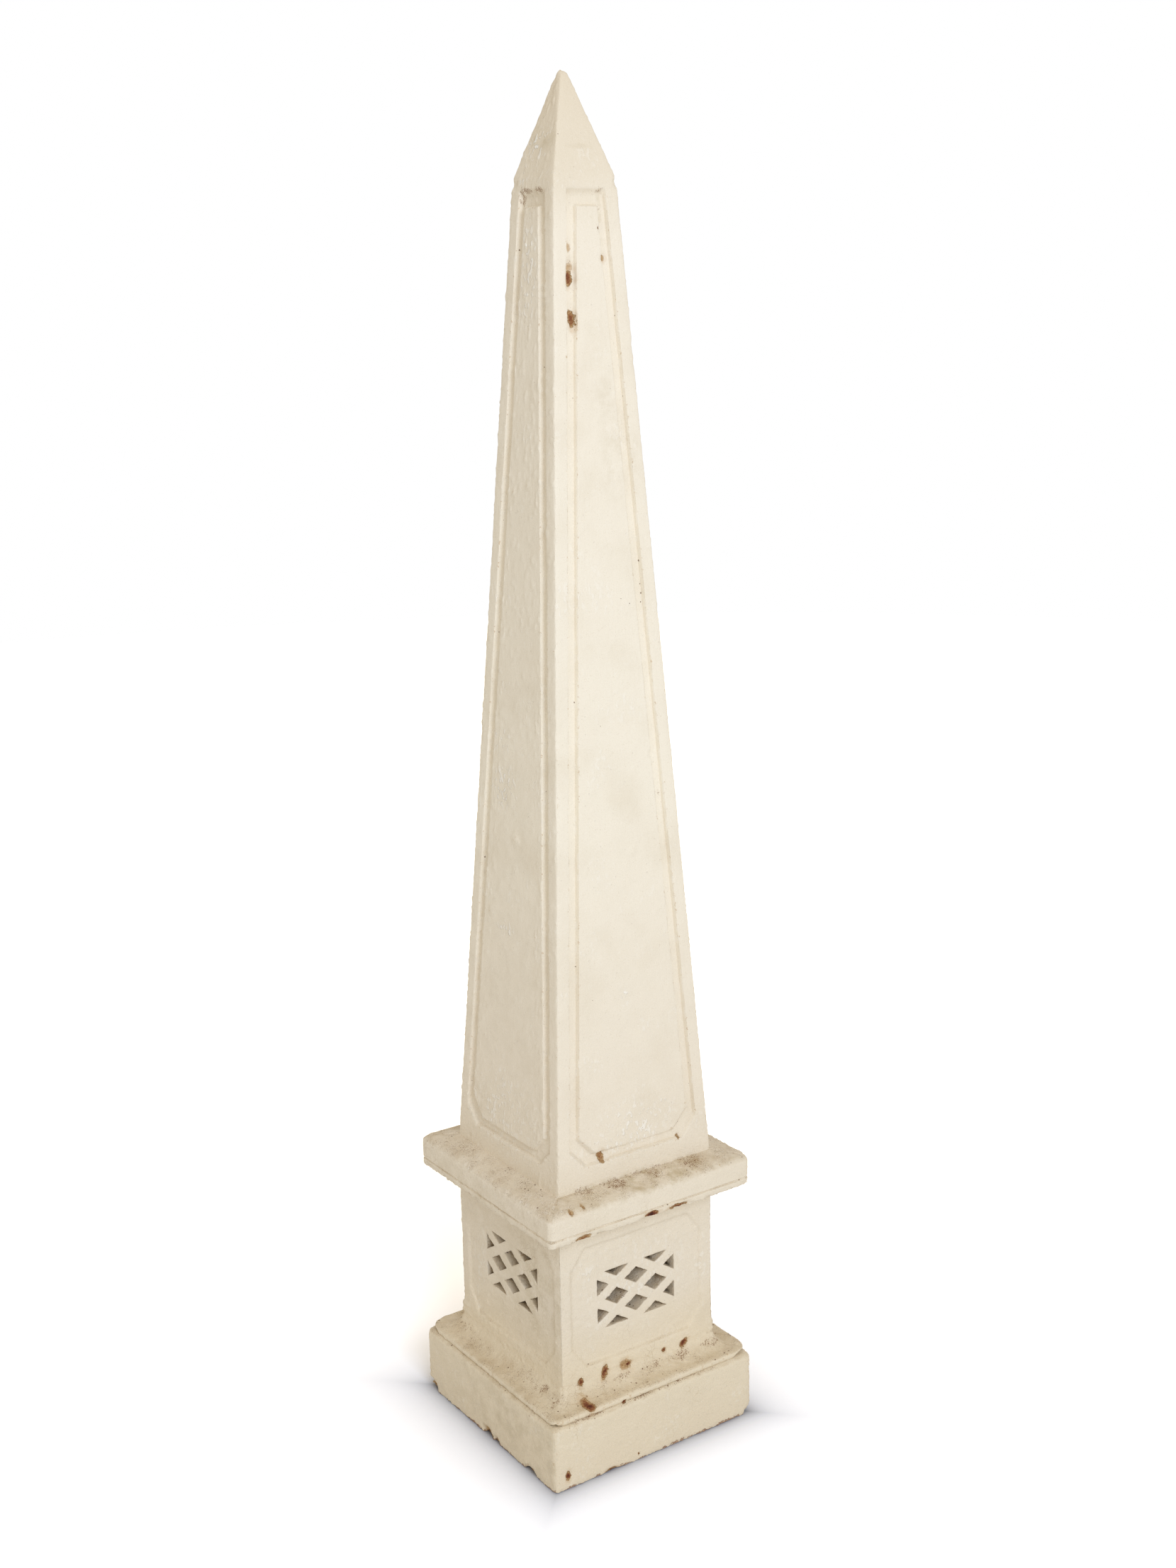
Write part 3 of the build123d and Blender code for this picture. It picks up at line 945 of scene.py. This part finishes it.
# the steps of the paint: name, kind, numbers and colours, and the earlier steps it reads; "paint" and
# "relief" are made again by every layer from what they were; sizes are in metres, so a pattern's
# scale is one over its size, and relief is in millimetres; the grain, the dust and the bristle marks
# are finer in life, and are drawn just coarse enough to show
paintSteps = [
    # the sound coat: yellower and duller towards the ground and at the tip
    ("cloud90", "cloud", [1 / 0.09, 2], "place"),
    ("drift", "scaled", [0.05, -0.025], "cloud90"),
    ("level", "scaled", [1 / summit], "z drift"),
    ("paint", "tones", [paintLook["byHeight"]], "level"),
    ("cloud60", "cloud", [1 / 0.06, 6], "place"),
    ("mottle", "fade", [0.45, 0.8, 0, 0.3], "cloud60"),
    ("paint", "coat", [paintLook["mottle"]], "mottle paint"),
    ("cloud150", "cloud", [1 / 0.15, 4], "place"),
    ("stain", "fade", [0.55, 0.8, 0, 0.25], "cloud150"),
    ("paint", "coat", [paintLook["stain"]], "stain paint"),
    ("cloud18", "cloud", [1 / 0.018, 6, 0.65], "place"),
    ("broken", "fade", [0.38, 0.66], "cloud18"),
    ("smudge", "times", [], "Smudge broken"),
    ("paint", "coat", [paintLook["smudge"]], "smudge paint"),
    ("grain", "cloud", [1 / 0.0013, 2, 0.6], "place"),
    ("chalky", "fade", [0.58, 0.78, 0, 0.3], "grain"),
    ("paint", "coat", [paintLook["chalkAndHighlight"]], "chalky paint"),
    ("dull", "fade", [0.42, 0.22, 0, 0.5], "grain"),
    ("paint", "coat", [paintLook["stain"]], "dull paint"),

    # hairline cracks, in patches of the pedestal's thickest paint
    ("warp", "cloud", [1 / 0.004, 2], "place"),
    ("warped", "shifted", [(0.0024, 0.0024, 0.0024)], "warp.Color place"),
    ("crackLine", "cellEdges", [1 / 0.009], "warped"),
    ("crackThin", "ramp", [0.026, 0.008], "crackLine"),
    ("cloud70", "cloud", [1 / 0.07, 3], "place"),
    ("crackedArea", "fade", [0.56, 0.7, 0, 0.45], "cloud70"),
    ("lowDown", "ramp", [shaftBase + 0.02, shaftBase], "z"),
    ("crack", "times", [], "crackedArea lowDown crackThin"),
    ("paint", "coat", [paintLook["crack"]], "crack paint"),

    # grime held in hollows, with painted shade there too: creases, joints and the lattice's openings
    # darker and tan, less on the shaft
    ("inHollow", "fade", [0.01, 0.1], "hollow"),
    ("onShaft", "ramp", [shaftBase, shaftBase + 0.03, 1, 0.16], "z"),
    ("cloud45", "cloud", [1 / 0.045, 5], "place"),
    ("uneven", "fade", [0.42, 0.66, 0.12, 0.65], "cloud45"),
    ("fineGrit", "cloud", [1 / 0.0018, 3], "place"),
    ("gritty", "fade", [0.35, 0.6, 0.4], "fineGrit"),
    ("held", "times", [], "inHollow onShaft uneven gritty"),
    ("paint", "coat", [paintLook["hollowGrimeAndShade"]], "held paint"),

    # dirt washed on to what faces up below the shaft, and dust that settled on it
    ("belowShaft", "ramp", [shaftBase + 0.004, shaftBase + 0.002], "z"),
    ("up", "fade", [0.25, 0.85], "facingUp"),
    ("faceUp", "times", [], "up belowShaft"),
    ("cloud35", "cloud", [1 / 0.035, 8, 0.72], "place"),
    ("dirty", "fade", [0.24, 0.86, 0, 0.55], "cloud35"),
    ("washed", "times", [], "faceUp dirty"),
    ("paint", "coat", [paintLook["ledgeDirt"]], "washed paint"),
    ("dustGrains", "cloud", [1 / 0.0012, 4, 0.75], "place"),
    ("dustFine", "fade", [0.52, 0.63, 0, 0.75], "dustGrains"),
    ("cloud22", "cloud", [1 / 0.022, 5, 0.6], "place"),
    ("dustHere", "fade", [0.42, 0.62], "cloud22"),
    ("dust", "times", [], "dustFine dustHere faceUp"),
    ("paint", "coat", [paintLook["dust"]], "dust paint"),

    # dried drips and skins, painted paler than the coat they stand on: a painted highlight on their relief
    ("hanging", "stretch", [(1, 1, 0.6)], "place"),
    ("cloud4", "cloud", [1 / 0.0042, 1.5], "hanging"),
    ("skinShape", "fade", [0.54, 0.64, 0, 0.75], "cloud4"),
    ("skinsHere", "fade", [0.52, 0.68, 0, 0.25], "cloud45"),
    ("skinShare", "plus", [], "skinsHere Rough"),
    ("skins", "times", [], "skinShape skinShare"),
    ("paint", "coat", [paintLook["chalkAndHighlight"]], "skins paint"),

    # patches of caught dirt: a tan haze, torn at its edges, full of fine dark grains
    ("cloud5", "cloud", [1 / 0.005, 6, 0.75], "place"),
    ("torn", "ramp", [0.25, 0.75, -0.7, 0.7], "cloud5"),
    ("patch", "plus", [], "Dirt torn"),
    ("ragged", "fade", [0.3, 1.1], "patch"),
    ("patchHeart", "fade", [0, 0.45], "Dirt"),
    ("caught", "times", [], "ragged patchHeart"),
    ("haze", "times", [0.25], "caught"),
    ("paint", "coat", [paintLook["ledgeDirt"]], "haze paint"),
    ("thicker", "scaled", [0.1], "caught dustGrains"),
    ("grains", "fade", [0.56, 0.64, 0, 0.85], "thicker"),
    ("caughtAtAll", "fade", [0, 0.35], "caught"),
    ("gritHere", "times", [], "grains caughtAtAll"),
    ("paint", "coat", [paintLook["grit"]], "gritHere paint"),

    # brown specks, thickest on ledges and in hollows
    ("cells", "cells", [1 / 0.0058], "place"),
    ("lot", "split", [], "cells.Color"),
    ("ledgeShare", "times", [0.55], "faceUp"),
    ("hollowShare", "scaled", [0.4], "inHollow ledgeShare"),
    ("sieve", "times", [], "hollowShare broken"),
    ("cloud80", "cloud", [1 / 0.08, 3], "place"),
    ("scattered", "fade", [0.45, 0.75, 0.06, 0.26], "cloud80"),
    ("speckShare", "plus", [], "sieve scattered"),
    ("won", "minus", [], "speckShare lot"),
    ("wide", "ramp", [0, 0.3, 0, 0.19], "won"),
    ("inSpeck", "minus", [], "wide cells"),
    ("specks", "fade", [-0.02, 0.02], "inSpeck"),
    ("speckDark", "times", [0.8], "specks"),
    ("paint", "coat", [paintLook["speck"]], "speckDark paint"),

    # paint rubbed off crests, and the foot broken back to clay
    ("crest", "fade", [-0.03, -0.09, 0, 0.6], "hollow"),
    ("cloud45mm", "cloud", [1 / 0.0045, 4, 0.7], "place"),
    ("rubbedHere", "fade", [0.58, 0.68], "cloud45mm"),
    ("rubbed", "times", [], "crest rubbedHere"),
    ("paint", "coat", [paintLook["rubbed"]], "rubbed paint"),
    ("cloud11", "cloud", [1 / 0.011, 5, 0.7], "place"),
    ("footLine", "scaled", [0.024, -0.0102], "cloud11"),
    ("belowLine", "minus", [], "footLine z"),
    ("bare", "fade", [-0.0004, 0.0004, 0, 0.9], "belowLine"),
    ("cloud2", "cloud", [1 / 0.002, 4, 0.65], "place"),
    ("clayTone", "tones", [paintLook["clay"]], "cloud2"),
    ("paint", "coat", [], "bare paint clayTone"),

    # a flake: burnt core darkened partly by painted shade, clay, tan rim, and a stain in the paint round
    # it
    ("halo", "fade", [1.9, 1, 0, 0.4], "Flake"),
    ("haloBroken", "times", [], "halo broken"),
    ("paint", "coat", [paintLook["haloTan"]], "haloBroken paint"),
    ("ripple", "ramp", [0.25, 0.75, -0.2, 0.2], "cloud2"),
    ("flakeDepth", "plus", [], "Flake ripple"),
    ("flakeTone", "tones", [paintLook["flake"]], "flakeDepth"),
    ("lost", "fade", [1.04, 0.96], "Flake"),
    ("paint", "coat", [], "lost paint flakeTone"),

    # relief: grain, lumps of old coats, brush marks, dried skins, pits, specks and flakes
    ("relief", "ramp", [0, 1, -0.35, 0.35], "grain"),
    ("cloud35mm", "cloud", [1 / 0.0035, 3], "place"),
    ("smoother", "ramp", [shaftBase + 0.1, shaftBase, 0.3, 0.8], "z"),
    ("relief", "scaled", [0.9], "cloud35mm relief"),
    ("relief", "times", [], "relief smoother"),
    ("drawn", "stretch", [(1, 1, 0.06)], "place"),
    ("bristles", "cloud", [1 / 0.0016, 2], "drawn"),
    ("relief", "scaled", [0.22], "bristles relief"),
    ("relief", "plus", [], "relief skins"),
    ("pitCells", "cells", [1 / 0.006], "place"),
    ("pitLot", "split", [], "pitCells.Color"),
    ("pitChosen", "ramp", [0.8, 0.82], "pitLot"),
    ("pitShape", "fade", [0.16, 0.05, 0, -0.3], "pitCells"),
    ("pitDeep", "times", [], "pitShape pitChosen"),
    ("relief", "plus", [], "relief pitDeep"),
    ("relief", "scaled", [-0.18], "crack relief"),
    ("relief", "scaled", [-0.12], "specks relief"),
    ("flakeDeep", "fade", [1.04, 0.88, 0, -1.1], "Flake"),
    ("relief", "plus", [], "relief flakeDeep"),
    ("relief", "scaled", [-0.4], "bare relief"),
    ("cloud20", "cloud", [1 / 0.02, 4], "place"),
    ("sheen", "fade", [0.3, 0.7, *paintLook["roughness"]], "cloud20"),
    ("lostRough", "times", [0.9], "lost"),
    ("Roughness", "larger", [], "sheen lostRough"),
]
markKinds = ("Flake", "Smudge", "Dirt", "Rough")


def makePaintGroup():
    group = bpy.data.node_groups.new("agedOilPaint", "ShaderNodeTree")
    for name in markKinds:
        group.interface.new_socket(name, in_out="INPUT", socket_type="NodeSocketFloat")
    group.interface.new_socket("Color", in_out="OUTPUT", socket_type="NodeSocketColor")
    for name in ("Roughness", "Height"):
        group.interface.new_socket(name, in_out="OUTPUT", socket_type="NodeSocketFloat")
    sources = addNode(group, coordinates).outputs
    xyz = addNode(group, "ShaderNodeSeparateXYZ", links={0: sources["Object"]}).outputs
    facing = addNode(group, "ShaderNodeSeparateXYZ", links={0: sources["Normal"]}).outputs
    hollow = addNode(group, "ShaderNodeAttribute", {"attribute_name": "hollow"}).outputs["Fac"]
    made = {"place": sources["Object"], "z": xyz["Z"], "facingUp": facing["Z"], "hollow": hollow}
    made.update(addNode(group, "NodeGroupInput").outputs.items())
    for name, kind, values, read in paintSteps:
        node, settings, slots, sockets = stepKinds[kind]
        sources = [made[step] for step in read.split()]
        while len(sources) > len(sockets):  # a longer product is made two at a time
            pair = dict(zip(sockets, sources))
            sources[:2] = [addNode(group, node, settings, pair).outputs[0]]
        outputs = addNode(group, node, {**settings, **dict(zip(slots, values))},
                          dict(zip(sockets, sources))).outputs
        made[name] = outputs[2 if kind == "coat" else 0]
        if "Color" in outputs:
            made[name + ".Color"] = outputs["Color"]
    addNode(group, "NodeGroupOutput", links={"Color": made["paint"], "Height": made["relief"],
                                             "Roughness": made["Roughness"]})
    return group


paintGroup = makePaintGroup()

# soft stains where the coat has greyed, given as the flakes are, with how strong each is; the three
# widest, on the left and so on the right, make the pedestal's side faces darker and yellower all over
smudges = {
    "front": [
        (26, 1137, 30, 60, 0, 0.28), (12, 1193, 22, 32, 20, 0.24), (-22, 1330, 5, 9, 0, 0.45),
        (18, 1345, 5, 14, 0, 0.4), (-3, 1444, 14, 3, 0, 0.4), (0, 334, 150, 9, 0, 1.0),
        (17, 1378, 4, 24, 0, 0.6),
    ],
    "left": [
        (90, 40, 190, 60, 0, 0.6), (60, 200, 120, 90, 0, 0.5), (0, 305, 170, 20, 0, 0.4),
        (-2, 1452, 28, 15, 0, 0.75), (80.8, 218, 6, 9, 0, 0.5), (81.8, 154, 3, 3, 0, 0.5),
    ],
}
# where dirt has caught
dirtPatches = {
    "front": [
        (-73.6, 337, 14, 6, 0, 0.8), (-32.4, 336, 20, 6, 0, 0.9), (17.7, 336, 15, 5, 0, 0.8),
        (70, 335, 24, 6, 0, 0.8), (0, 337.5, 100, 2.5, 0, 0.65), (57, 94, 20, 7, 0, 0.85),
        (-27, 94, 20, 5, 0, 0.75), (20, 94, 18, 5, 0, 0.6), (100, 94, 22, 7, 0, 0.7),
        (-96, 90, 10, 7, 0, 0.5), (-84, 103, 9, 6, 0, 0.5), (-90, 79, 40, 2.4, 0, 0.9),
        (-20, 79, 40, 2.2, 0, 0.8), (50, 79, 44, 2.0, 0, 0.6), (-50, 88, 50, 2.2, 0, 0.45),
        (60, 88, 50, 2.2, 0, 0.4), (15, 1400, 11, 6, 0, 0.6), (16.5, 1378, 3, 22, 0, 0.45),
        (-24, 1330, 7, 14, 0, 0.4), (58, 763, 4, 5, 0, 0.7), (0, 305.5, 130, 1.6, 0, 0.35),
    ],
    "left": [
        (-20, 1395, 5, 13, 0, 0.95), (-10, 1401, 15, 4.5, 0, 0.9), (12, 1401, 10, 5, 0, 0.95),
        (-100, 334, 9, 5, 0, 0.5), (-68.5, 335, 12, 6, 0, 0.5), (-20, 335, 26, 5, 0, 0.3),
        (40, 334, 30, 5, 0, 0.3), (82, 94, 12, 7, 0, 0.85), (108, 91, 8, 6, 0, 0.8),
        (46, 98, 8, 5, 0, 0.5), (-90, 94, 24, 7, 0, 0.5), (-2.4, 76.5, 4, 3, 0, 0.6),
        (90.6, 74, 3, 3, 0, 0.6), (90, 80, 40, 2.6, 0, 0.7), (0, 80, 60, 2.4, 0, 0.5),
        (60, 91, 60, 4, 0, 0.5), (0, 305.5, 130, 1.6, 0, 0.3),
    ],
}
# where drips and skins of old paint crowd together
roughPatches = {
    "front": [
        (-2.9, 545.7, 9, 12, 0, 0.7), (21.8, 411.5, 5, 5, 0, 0.8), (42.9, 414.1, 5, 4, 0, 0.8),
        (-5, 390, 55, 40, 0, 0.55), (0, 220, 100, 50, 0, 0.25),
    ],
    "left": [
        (-25, 772, 32, 28, 0, 0.9), (-14, 613, 20, 10, 0, 0.8), (-35, 826, 22, 18, 0, 0.7),
        (-2.5, 1323, 20, 60, 0, 0.8), (-4, 1446, 26, 18, 0, 1.0), (-18, 1416, 9, 13, 0, 0.8),
        (0, 400, 80, 60, 0, 0.35),
    ],
}
for marks in (smudges, dirtPatches, roughPatches):
    marks["back"], marks["right"] = marks["front"], marks["left"]

# how marks are laid on: the wander of their edges, as (size, reach) in metres, how far in and out of
# its face each kind reaches, over which share of a mark its strength fades, and how pale a flake is
markLook = {
    "wander": ((0.006, 0.005), (0.0017, 0.0027)), "fade": (1.3, 0.2),
    "reach": {"Flake": 0.014, "Smudge": 0.05, "Dirt": 0.02, "Rough": 0.03},
    "pale": 0.82, "burnt": 0.55, "palest": 0.97,
}


# distance from a mark's middle, 1 at its edge, in the face of its own side
def markDistance(tree, place, mark, kind):
    u, z, wide, tall = (value / 1000 for value in mark[:4])
    settings = {"vector_type": "TEXTURE", "Location": (u, -faceAt(z), z),
                "Rotation": (0, math.radians(mark[4]), 0),
                "Scale": (wide, markLook["reach"][kind], tall)}
    turned = addNode(tree, mapping, settings, {"Vector": place}).outputs[0]
    return addNode(tree, vectors, {"operation": "LENGTH"}, {0: turned}).outputs["Value"]


def makePaint(side, turn):
    material, tree = newMaterial("agedOilPaint" + side.capitalize())
    place = addNode(tree, coordinates).outputs["Object"]
    facing = {"Rotation": (0, 0, -turn * math.pi / 2)}
    place = addNode(tree, mapping, facing, {"Vector": place}).outputs[0]
    for size, reach in markLook["wander"]:
        cloud = addNode(tree, noise, {"Scale": 1 / size, "Detail": 2}, {"Vector": place})
        centred = addNode(tree, vectors, {**minus, 1: (0.5, 0.5, 0.5)}, {0: cloud.outputs["Color"]})
        place = addNode(tree, vectors, {**timesPlus, 1: (reach, reach, reach)},
                        {0: centred.outputs[0], 2: place}).outputs[0]
    paint = addNode(tree, "ShaderNodeGroup", {"node_tree": paintGroup})
    for kind, marks in zip(markKinds, (flakes, smudges, dirtPatches, roughPatches)):
        most = None
        for mark in marks[side]:
            distance = markDistance(tree, place, mark, kind)
            if kind == "Flake":  # a pale flake starts part of the way out from its core
                pale = min(max(markLook["pale"] - markLook["burnt"] * mark[5], 0), markLook["palest"])
                shifted = addNode(tree, maths, {**timesPlus, 1: 1 - pale, 2: pale}, {0: distance})
                amount = addNode(tree, maths, larger, {0: shifted.outputs[0], 1: distance}).outputs[0]
            else:
                settings = {"interpolation_type": "SMOOTHSTEP", "To Max": mark[5],
                            **dict(zip(fromTo, markLook["fade"]))}
                amount = addNode(tree, "ShaderNodeMapRange", settings, {"Value": distance}).outputs[0]
            if most:
                nearer = smaller if kind == "Flake" else larger
                amount = addNode(tree, maths, nearer, {0: most, 1: amount}).outputs[0]
            most = amount
        tree.links.new(most, paint.inputs[kind])
    bump = addNode(tree, bumps, {"Distance": 0.001, "Strength": 1}, {"Height": paint.outputs["Height"]})
    shader = addNode(tree, principled, {name: paintLook[name] for name in ("IOR", "Specular IOR Level")},
                     {"Base Color": paint.outputs["Color"], "Roughness": paint.outputs["Roughness"],
                      "Normal": bump.outputs[0]})
    addNode(tree, output, links={"Surface": shader.outputs[0]})
    return material


# bare terracotta, press moulded and low fired: buff to pink, dusty and quite matt; its grit is finer
# in life, and is drawn just coarse enough to show
clayLook = {"tones": [(0.3, "#a78c68"), (0.55, "#cbb592"), (0.7, "#d8cbb0")], "patch": 0.03,
            "grit": 0.0015, "gritHigh": 0.0008, "gritShare": 0.6,
            "Roughness": 0.95, "Specular IOR Level": 0.2}


def makeClay(look):
    material, tree = newMaterial("firedTerracotta")
    place = addNode(tree, coordinates).outputs["Object"]
    patches = addNode(tree, noise, {"Scale": 1 / look["patch"], "Detail": 5}, {"Vector": place}).outputs[0]
    tone = addNode(tree, "ShaderNodeValToRGB", {"stops": look["tones"]}, {0: patches}).outputs[0]
    grit = addNode(tree, noise, {"Scale": 1 / look["grit"], "Detail": 3}, {"Vector": place}).outputs[0]
    bump = addNode(tree, bumps, {"Distance": look["gritHigh"], "Strength": look["gritShare"]},
                   {"Height": grit}).outputs[0]
    shader = addNode(tree, principled, {name: look[name] for name in ("Roughness", "Specular IOR Level")},
                     {"Base Color": tone, "Normal": bump})
    addNode(tree, output, links={"Surface": shader.outputs[0]})
    return material


clay = makeClay(clayLook)
paints = {side: makePaint(side, turn) for turn, side in enumerate(sideNames)}
print("paint and clay mixed")

# half width of each tier's inner face, and what counts as a slab's mitre and its inside
insides = {"plinth": plinthInner, "cove": dadoInner, "dado": dadoInner, "cornice": corniceLook["core"],
           "shaft": 1, "tip": 1}
bareLook = {"mitreTurn": 0.02, "mitreReach": 0.012, "inward": 0.5, "insideReach": 0.002, "smoothTo": 60}

for tier, sides in slabs.items():
    for side, piece in sides.items():
        makeActive(piece)
        piece.data.materials.clear()
        piece.data.materials.append(paints[side])
        piece.data.materials.append(clay)
        centre, normal = faceRows(piece)
        turn = sideNames.index(side) * math.pi / 2
        outward = np.sin(turn) * normal[:, 0] - np.cos(turn) * normal[:, 1]
        out = np.sin(turn) * centre[:, 0] - np.cos(turn) * centre[:, 1]
        across = np.cos(turn) * centre[:, 0] + np.sin(turn) * centre[:, 1]
        # what was never painted: the mitres, and the inner face
        onMitre = abs(outward + math.sqrt(0.5)) < bareLook["mitreTurn"]
        onMitre &= abs(out - abs(across)) < bareLook["mitreReach"]
        hidden = (outward < -bareLook["inward"]) & (out < insides[tier] + bareLook["insideReach"])
        piece.data.polygons.foreach_set("material_index", (onMitre | hidden).astype(np.int32))
        bpy.ops.object.shade_smooth_by_angle(angle=math.radians(bareLook["smoothTo"]))
        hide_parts(tier + "_" + side)
        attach(piece, "root")
print("slabs finished:", sum(len(sides) for sides in slabs.values()))


# the view: its eye, its turn in degrees and its lens in millimetres
view = {"eye": (-1.1683, -1.7286, 1.2922), "turn": (75.880, 1.016, -34.681), "lens": 44.26}
camera = bpy.data.cameras.new("camera")
camera.lens = view["lens"]
camera.sensor_width = 36
cameraObject = bpy.data.objects.new("camera", camera)
cameraObject.location = view["eye"]
cameraObject.rotation_euler = Euler([math.radians(turn) for turn in view["turn"]], "XYZ")
bpy.context.collection.objects.link(cameraObject)
bpy.context.scene.camera = cameraObject
bpy.context.scene.view_settings.view_transform = "Standard"


# the rays to which floor and backdrop are white: the camera's, and those of gloss and glass
def raysToWhite(tree):
    path = addNode(tree, "ShaderNodeLightPath").outputs
    seen = path["Is Camera Ray"]
    for name in ("Is Glossy Ray", "Is Transmission Ray"):
        seen = addNode(tree, maths, larger, {0: seen, 1: path[name]}).outputs[0]
    return seen


# a white studio: even light from all round, and one soft lamp high in front; the floor, as the camera sees
# it, is white less two shares of painted shadow that die away from the foot, as (share, reach in metres)
studio = {"sky": 0.655, "skyColour": "#fff6e8", "lamp": 74.0, "lampColour": "#e0ecff",
          "lampPlace": (-1.0, -3.4, 2.4), "lampSize": 1.6, "aim": (0, 0, 0.75), "floorReach": 6.0,
          "floor": 0.8, "white": 2.1, "paintedContactShadow": (0.54, 0.016), "shade": (0.92, 0.20), "paintedShadowTint": "#f1f5ff"}
deselectAll()
bpy.ops.mesh.primitive_circle_add(vertices=96, radius=studio["floorReach"], fill_type="NGON",
                                  location=(0, 0, 0))
floor = bpy.context.object
floor.name = "floor"
material, tree = newMaterial("paperFloor")
seen = raysToWhite(tree)
place = addNode(tree, coordinates).outputs["Object"]
flat = addNode(tree, "ShaderNodeSeparateXYZ", links={0: place}).outputs
reaches = [addNode(tree, maths, absolute, {0: flat[axis]}).outputs[0] for axis in "XY"]
away = addNode(tree, maths, larger, {0: reaches[0], 1: reaches[1]}).outputs[0]
away = addNode(tree, maths, {**minus, 1: plinthHalf}, {0: away}).outputs[0]
# the floor's camera colour is darkened near the foot: a painted shadow, over the real one the floor keeps
white = None
for share, reach in (studio["paintedContactShadow"], studio["shade"]):
    power = addNode(tree, maths, {**times, 1: -1 / reach}, {0: away}).outputs[0]
    paintedShadowFade = addNode(tree, maths, {"operation": "EXPONENT"}, {0: power}).outputs[0]
    less = addNode(tree, maths, {**timesPlus, 1: -share, 2: studio["white"]}, {0: paintedShadowFade})
    if white:
        tree.links.new(white, less.inputs[2])
    white = less.outputs[0]
# the painted shadow is tinted blue near the foot
white = addNode(tree, mix, {"data_type": "RGBA", "blend_type": "MULTIPLY", 7: studio["paintedShadowTint"]},
                {0: paintedShadowFade, 6: white}).outputs[2]
shade = addNode(tree, mix, {"data_type": "RGBA", 6: [studio["floor"]] * 3 + [1]},
                {0: seen, 7: white}).outputs[2]
diffuse = addNode(tree, "ShaderNodeBsdfDiffuse", links={"Color": shade})
addNode(tree, output, links={"Surface": diffuse.outputs[0]})
floor.data.materials.append(material)

world = bpy.context.scene.world or bpy.data.worlds.new("studio")
bpy.context.scene.world = world
world.use_nodes = True
tree = world.node_tree
tree.nodes.clear()
light = addNode(tree, "ShaderNodeBackground", {"Color": studio["skyColour"], "Strength": studio["sky"]})
backdrop = addNode(tree, "ShaderNodeBackground", {"Color": (1, 1, 1, 1), "Strength": 1.0})
mixed = addNode(tree, "ShaderNodeMixShader", links={0: raysToWhite(tree), 1: light.outputs[0],
                                                    2: backdrop.outputs[0]})
addNode(tree, "ShaderNodeOutputWorld", links={"Surface": mixed.outputs[0]})

lamp = bpy.data.lights.new("softLamp", "AREA")
lamp.energy = studio["lamp"]
lamp.color = linear(studio["lampColour"])[:3]
lamp.size = studio["lampSize"]
lampObject = bpy.data.objects.new("softLamp", lamp)
lampObject.location = studio["lampPlace"]
towards = Vector(studio["aim"]) - lampObject.location
lampObject.rotation_euler = towards.to_track_quat("-Z", "Y").to_euler()
bpy.context.collection.objects.link(lampObject)
print("studio set")
